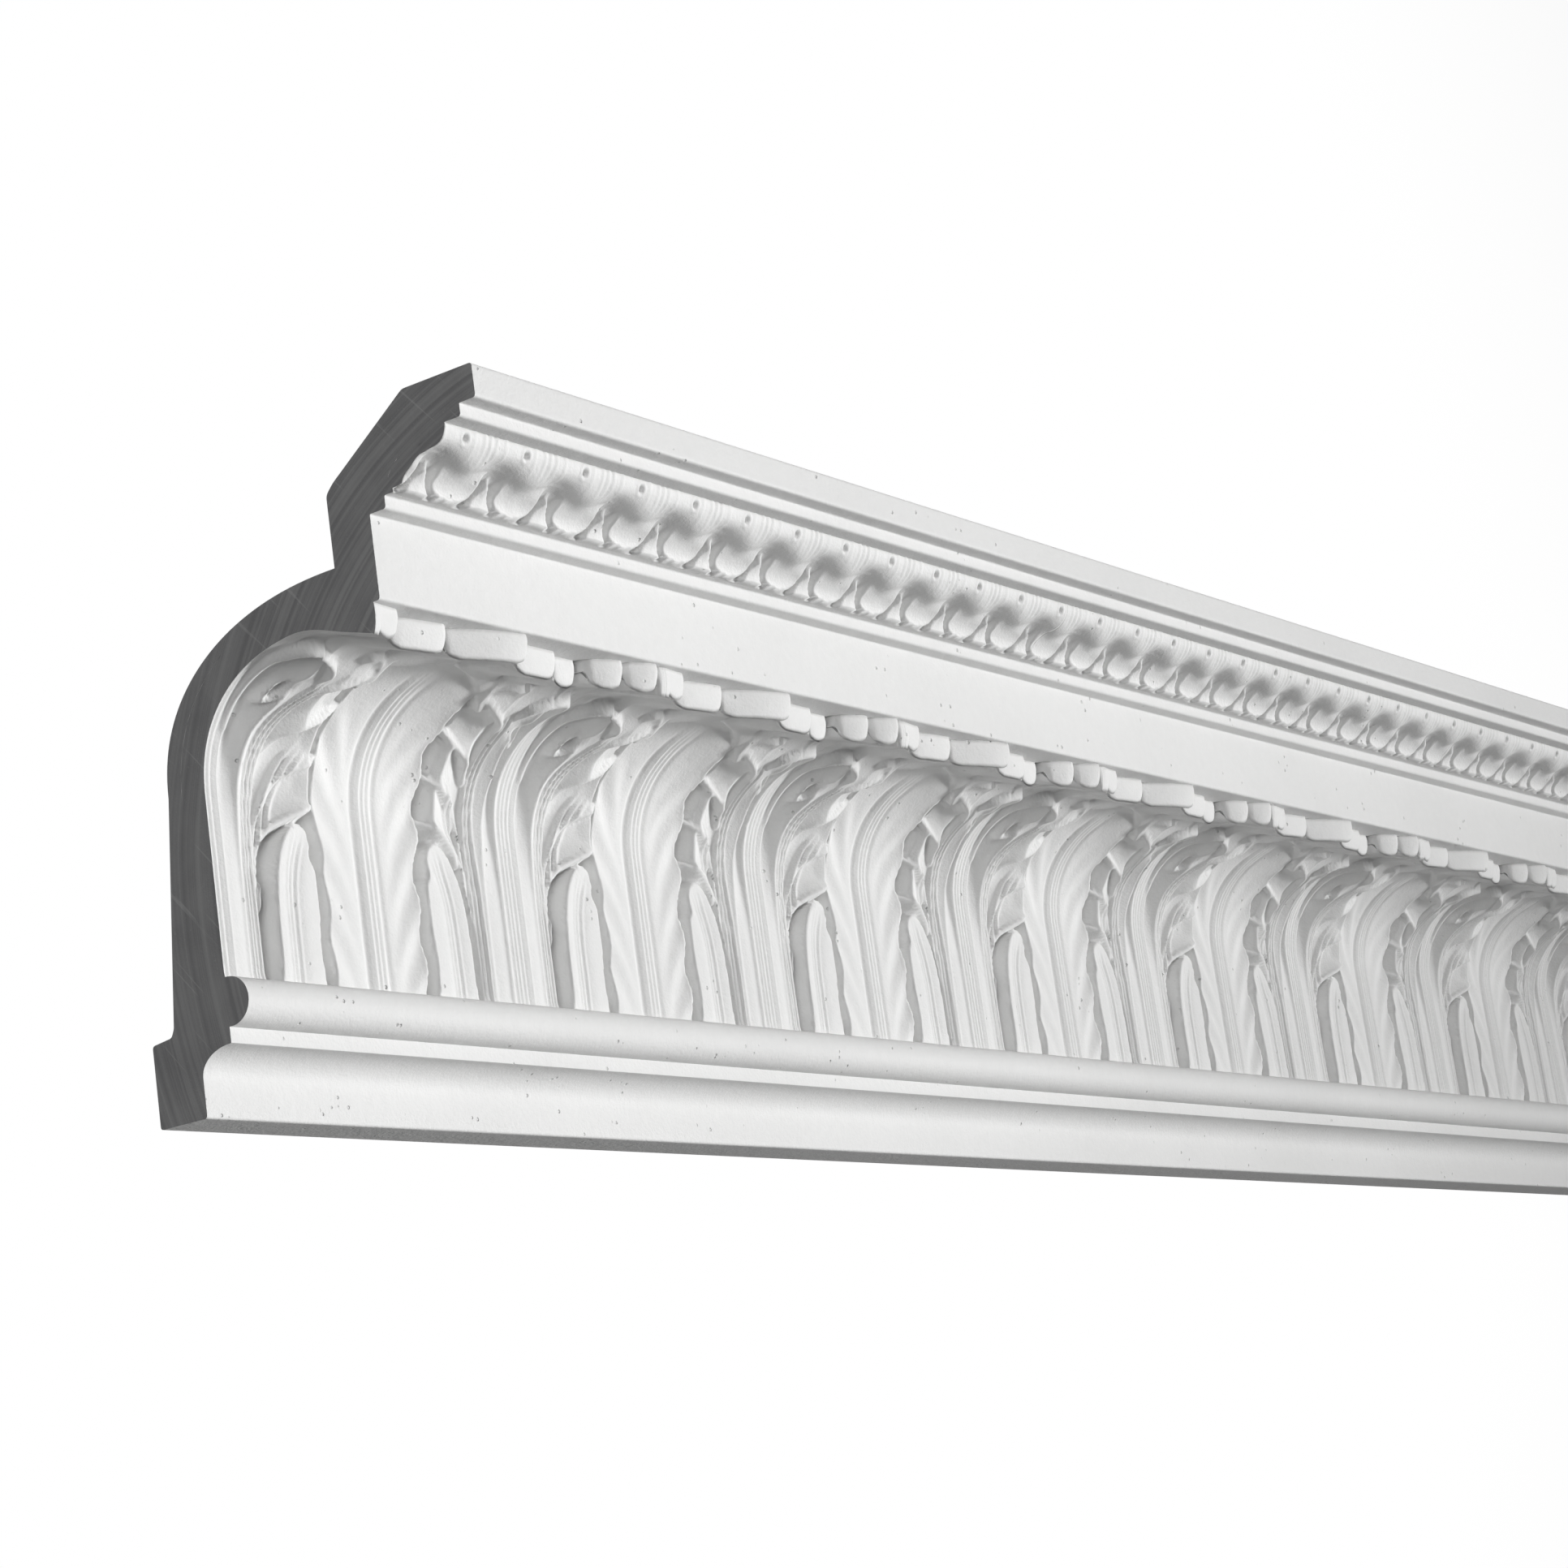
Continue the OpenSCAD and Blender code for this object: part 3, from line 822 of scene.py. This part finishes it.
def tongue_band(number, start, end, sizes, materials):
    """A stretch of the leaf-and-tongue band: rows climb its S-shaped section by the relief's
    height and come back along the shell's ground."""
    pitch = sizes.leaf_pitch / MM / sizes.tongues_per_leaf
    x = np.linspace(start, end, round((end - start) / BAND_COLUMN) + 1)
    line = band_line()
    s = np.linspace(0, lengths(line)[-1], BAND_ROWS)
    point, normal = resample(line, s)
    h = tongue_relief(x[None, :], s[:, None], pitch, sizes.tongue_relief)
    out = point[:, :1] + normal[:, :1] * h
    up = np.clip(point[:, 1:] + normal[:, 1:] * h, BAND_FOOT, BAND_HEAD)
    up[0], up[-1] = BAND_FOOT, BAND_HEAD
    ground = np.array(BAND_GROUND)
    home, _ = resample(ground, np.linspace(lengths(ground)[-1], 0, BAND_BACK_ROWS))
    home[0], home[-1] = ground[-1], ground[0]
    rows_out = np.vstack([out, np.repeat(home[:, :1], len(x), 1)])
    rows_up = np.vstack([up, np.repeat(home[:, 1:], len(x), 1)])
    rows = settle(x[None, :], rows_out, rows_up)[::-1]
    return skin("tongue_band_%d" % number, rows, materials, at_ends(start, end))


# ---------------------------------------------------------------- studio

# In metres: the floor's depth under the moulding, its reach, and its squares a side
FLOOR_DROP, FLOOR_REACH, FLOOR_STEPS = 1.6, 40.0, 24
# The world is bright in one direction and dim elsewhere; the camera sees a bright backdrop
SKY_ALONG, SKY_EDGES = (-0.45, -0.87, -0.2), (-0.78, -0.4)
SKY_BRIGHT, SKY_DIM, BACKDROP = 1.0, 0.07, 0.9
WHITE = (1, 1, 1, 1)
LAMPS = [
    # name, place and aim in metres, size in metres, power in watts, spread in degrees
    ("key", (3.6, -5.0, -0.8), (-1.0, 0, 0), 1.2, 18.0, 34),
    ("fill", (-3.2, -1.6, 0.2), (0, 0, 0), 1.5, 12, 120),
]
CAMERA_AT = (-1.3820, -0.7833, -0.1908)
CAMERA_RIGHT, CAMERA_BACK = (0.5656, -0.8131, -0.1375), (-0.8176, -0.5310, -0.2228)
SENSOR_MM, LENS_MM, CLIP = 36.0, 85.9, (0.05, 50)


def studio_floor(colours):
    """A wide level floor, in squares."""
    side = np.linspace(-FLOOR_REACH, FLOOR_REACH, FLOOR_STEPS + 1)
    gx, gy = np.meshgrid(side, side)
    floor_at = LOW[2] * MM - FLOOR_DROP
    verts = np.stack([gx, gy, np.full_like(gx, floor_at)], -1).reshape(-1, 3)
    index = np.arange((FLOOR_STEPS + 1) ** 2).reshape(FLOOR_STEPS + 1, FLOOR_STEPS + 1)
    faces = np.stack([index[:-1, :-1], index[:-1, 1:], index[1:, 1:], index[1:, :-1]], -1)
    mesh = bpy.data.meshes.new("studio_floor")
    mesh.from_pydata(verts.tolist(), [], faces.reshape(-1, 4).tolist())
    mesh.materials.append(floor_finish(colours))
    put("studio_floor", mesh)


def studio_world():
    """Light from the world by direction alone, and a brighter backdrop for the camera."""
    world = bpy.data.worlds.new("studio")
    world.use_nodes = True
    kit = Nodes(world.node_tree)
    place = kit.node("ShaderNodeTexCoord", {}, {}, "Generated")
    facing = kit.node("ShaderNodeVectorMath", {"operation": "DOT_PRODUCT"},
                      {0: place, 1: SKY_ALONG}, "Value")
    glow = kit.band(facing, *SKY_EDGES, SKY_BRIGHT, SKY_DIM)
    seen = kit.node("ShaderNodeLightPath", {}, {}, "Is Camera Ray")
    light = kit.node("ShaderNodeMath", {"operation": "MAXIMUM"}, {0: glow, 1: seen * BACKDROP})
    sky = kit.tree.nodes["Background"]
    kit.give(sky.inputs["Color"], WHITE)
    kit.give(sky.inputs["Strength"], light)
    bpy.context.scene.world = world


def studio_lamp(name, at, aim, size, power, spread):
    """A square soft lamp, turned to face its aim."""
    data = bpy.data.lights.new(name, "AREA")
    data.size, data.energy, data.spread = size, power, math.radians(spread)
    lamp = put(name, data)
    lamp.location = at
    lamp.rotation_euler = (Vector(aim) - Vector(at)).to_track_quat("-Z", "Y").to_euler()


def studio_camera():
    """The camera, by its place and the directions to its right and behind it."""
    data = bpy.data.cameras.new("camera")
    data.sensor_width, data.lens = SENSOR_MM, LENS_MM
    data.clip_start, data.clip_end = CLIP
    back = Vector(CAMERA_BACK).normalized()
    above = back.cross(Vector(CAMERA_RIGHT).normalized()).normalized()
    turned = Matrix((above.cross(back), above, back)).transposed().to_4x4()
    camera = put("camera", data)
    camera.matrix_world = Matrix.Translation(CAMERA_AT) @ turned
    bpy.context.scene.camera = camera


# ---------------------------------------------------------------- operators


REPEATS_PER_STRETCH = 2.5


def stretches(size):
    """The length in stretches of a size, the last cut off at its end: number, start, end."""
    for k in range(math.ceil(LENGTH / size - 0.01)):
        yield k + 1, k * size, min((k + 1) * size, LENGTH)


def finishes():
    """The casting's two finishes, made once."""
    colours = bpy.context.scene.moulding_colours
    made = []
    for name, maker in (("primed_casting", casting_finish), ("sawn_foam", sawn_finish)):
        made.append(bpy.data.materials.get(name) or maker(colours))
    return made


class MOULDING_OT_shell(bpy.types.Operator):
    """Adds the plain members, the hollow back and the sawn ends"""

    bl_idname = "moulding.shell"
    bl_label = "Add Moulding Shell"

    def execute(self, context):
        moulding_shell(context.scene.moulding_sizes, finishes())
        return {"FINISHED"}


class MOULDING_OT_acanthus(bpy.types.Operator):
    """Adds the acanthus leaves of the cove, one piece to a repeat"""

    bl_idname = "moulding.acanthus"
    bl_label = "Add Acanthus Leaves"

    def execute(self, context):
        sizes = context.scene.moulding_sizes
        for number, start, end in stretches(sizes.leaf_pitch / MM):
            acanthus_repeat(number, start, end, sizes, finishes())
        return {"FINISHED"}


class MOULDING_OT_tongues(bpy.types.Operator):
    """Adds the leaf-and-tongue band under the top fillet"""

    bl_idname = "moulding.tongues"
    bl_label = "Add Tongue Band"

    def execute(self, context):
        sizes = context.scene.moulding_sizes
        stretch = REPEATS_PER_STRETCH * sizes.leaf_pitch / MM
        for number, start, end in stretches(stretch):
            tongue_band(number, start, end, sizes, finishes())
        return {"FINISHED"}


class MOULDING_OT_stage(bpy.types.Operator):
    """Adds the floor, the studio light and the camera"""

    bl_idname = "moulding.stage"
    bl_label = "Add Stage"

    def execute(self, context):
        studio_floor(context.scene.moulding_colours)
        studio_world()
        for lamp in LAMPS:
            studio_lamp(*lamp)
        studio_camera()
        context.scene.view_settings.view_transform = "Standard"
        return {"FINISHED"}


class MOULDING_PT_panel(bpy.types.Panel):
    """Sizes, colours and pieces of the moulding"""

    bl_idname = "MOULDING_PT_panel"
    bl_label = "Cornice Moulding"
    bl_space_type = "VIEW_3D"
    bl_region_type = "UI"
    bl_category = "Moulding"

    def draw(self, context):
        for group in (context.scene.moulding_sizes, context.scene.moulding_colours):
            for name in group.bl_rna.properties.keys():
                if name not in ("rna_type", "name"):
                    self.layout.prop(group, name)
        for step in STEPS:
            self.layout.operator("moulding." + step)


STEPS = ("shell", "acanthus", "tongues", "stage")
CLASSES = (MouldingSizes, MouldingColours, MOULDING_OT_shell, MOULDING_OT_acanthus,
           MOULDING_OT_tongues, MOULDING_OT_stage, MOULDING_PT_panel)


def register():
    for item in CLASSES:
        bpy.utils.register_class(item)
    bpy.types.Scene.moulding_sizes = bpy.props.PointerProperty(type=MouldingSizes)
    bpy.types.Scene.moulding_colours = bpy.props.PointerProperty(type=MouldingColours)


def unregister():
    del bpy.types.Scene.moulding_colours
    del bpy.types.Scene.moulding_sizes
    for item in reversed(CLASSES):
        bpy.utils.unregister_class(item)


def main():
    register()
    for step in STEPS:
        getattr(bpy.ops.moulding, step)()


if __name__ == "__main__":
    main()
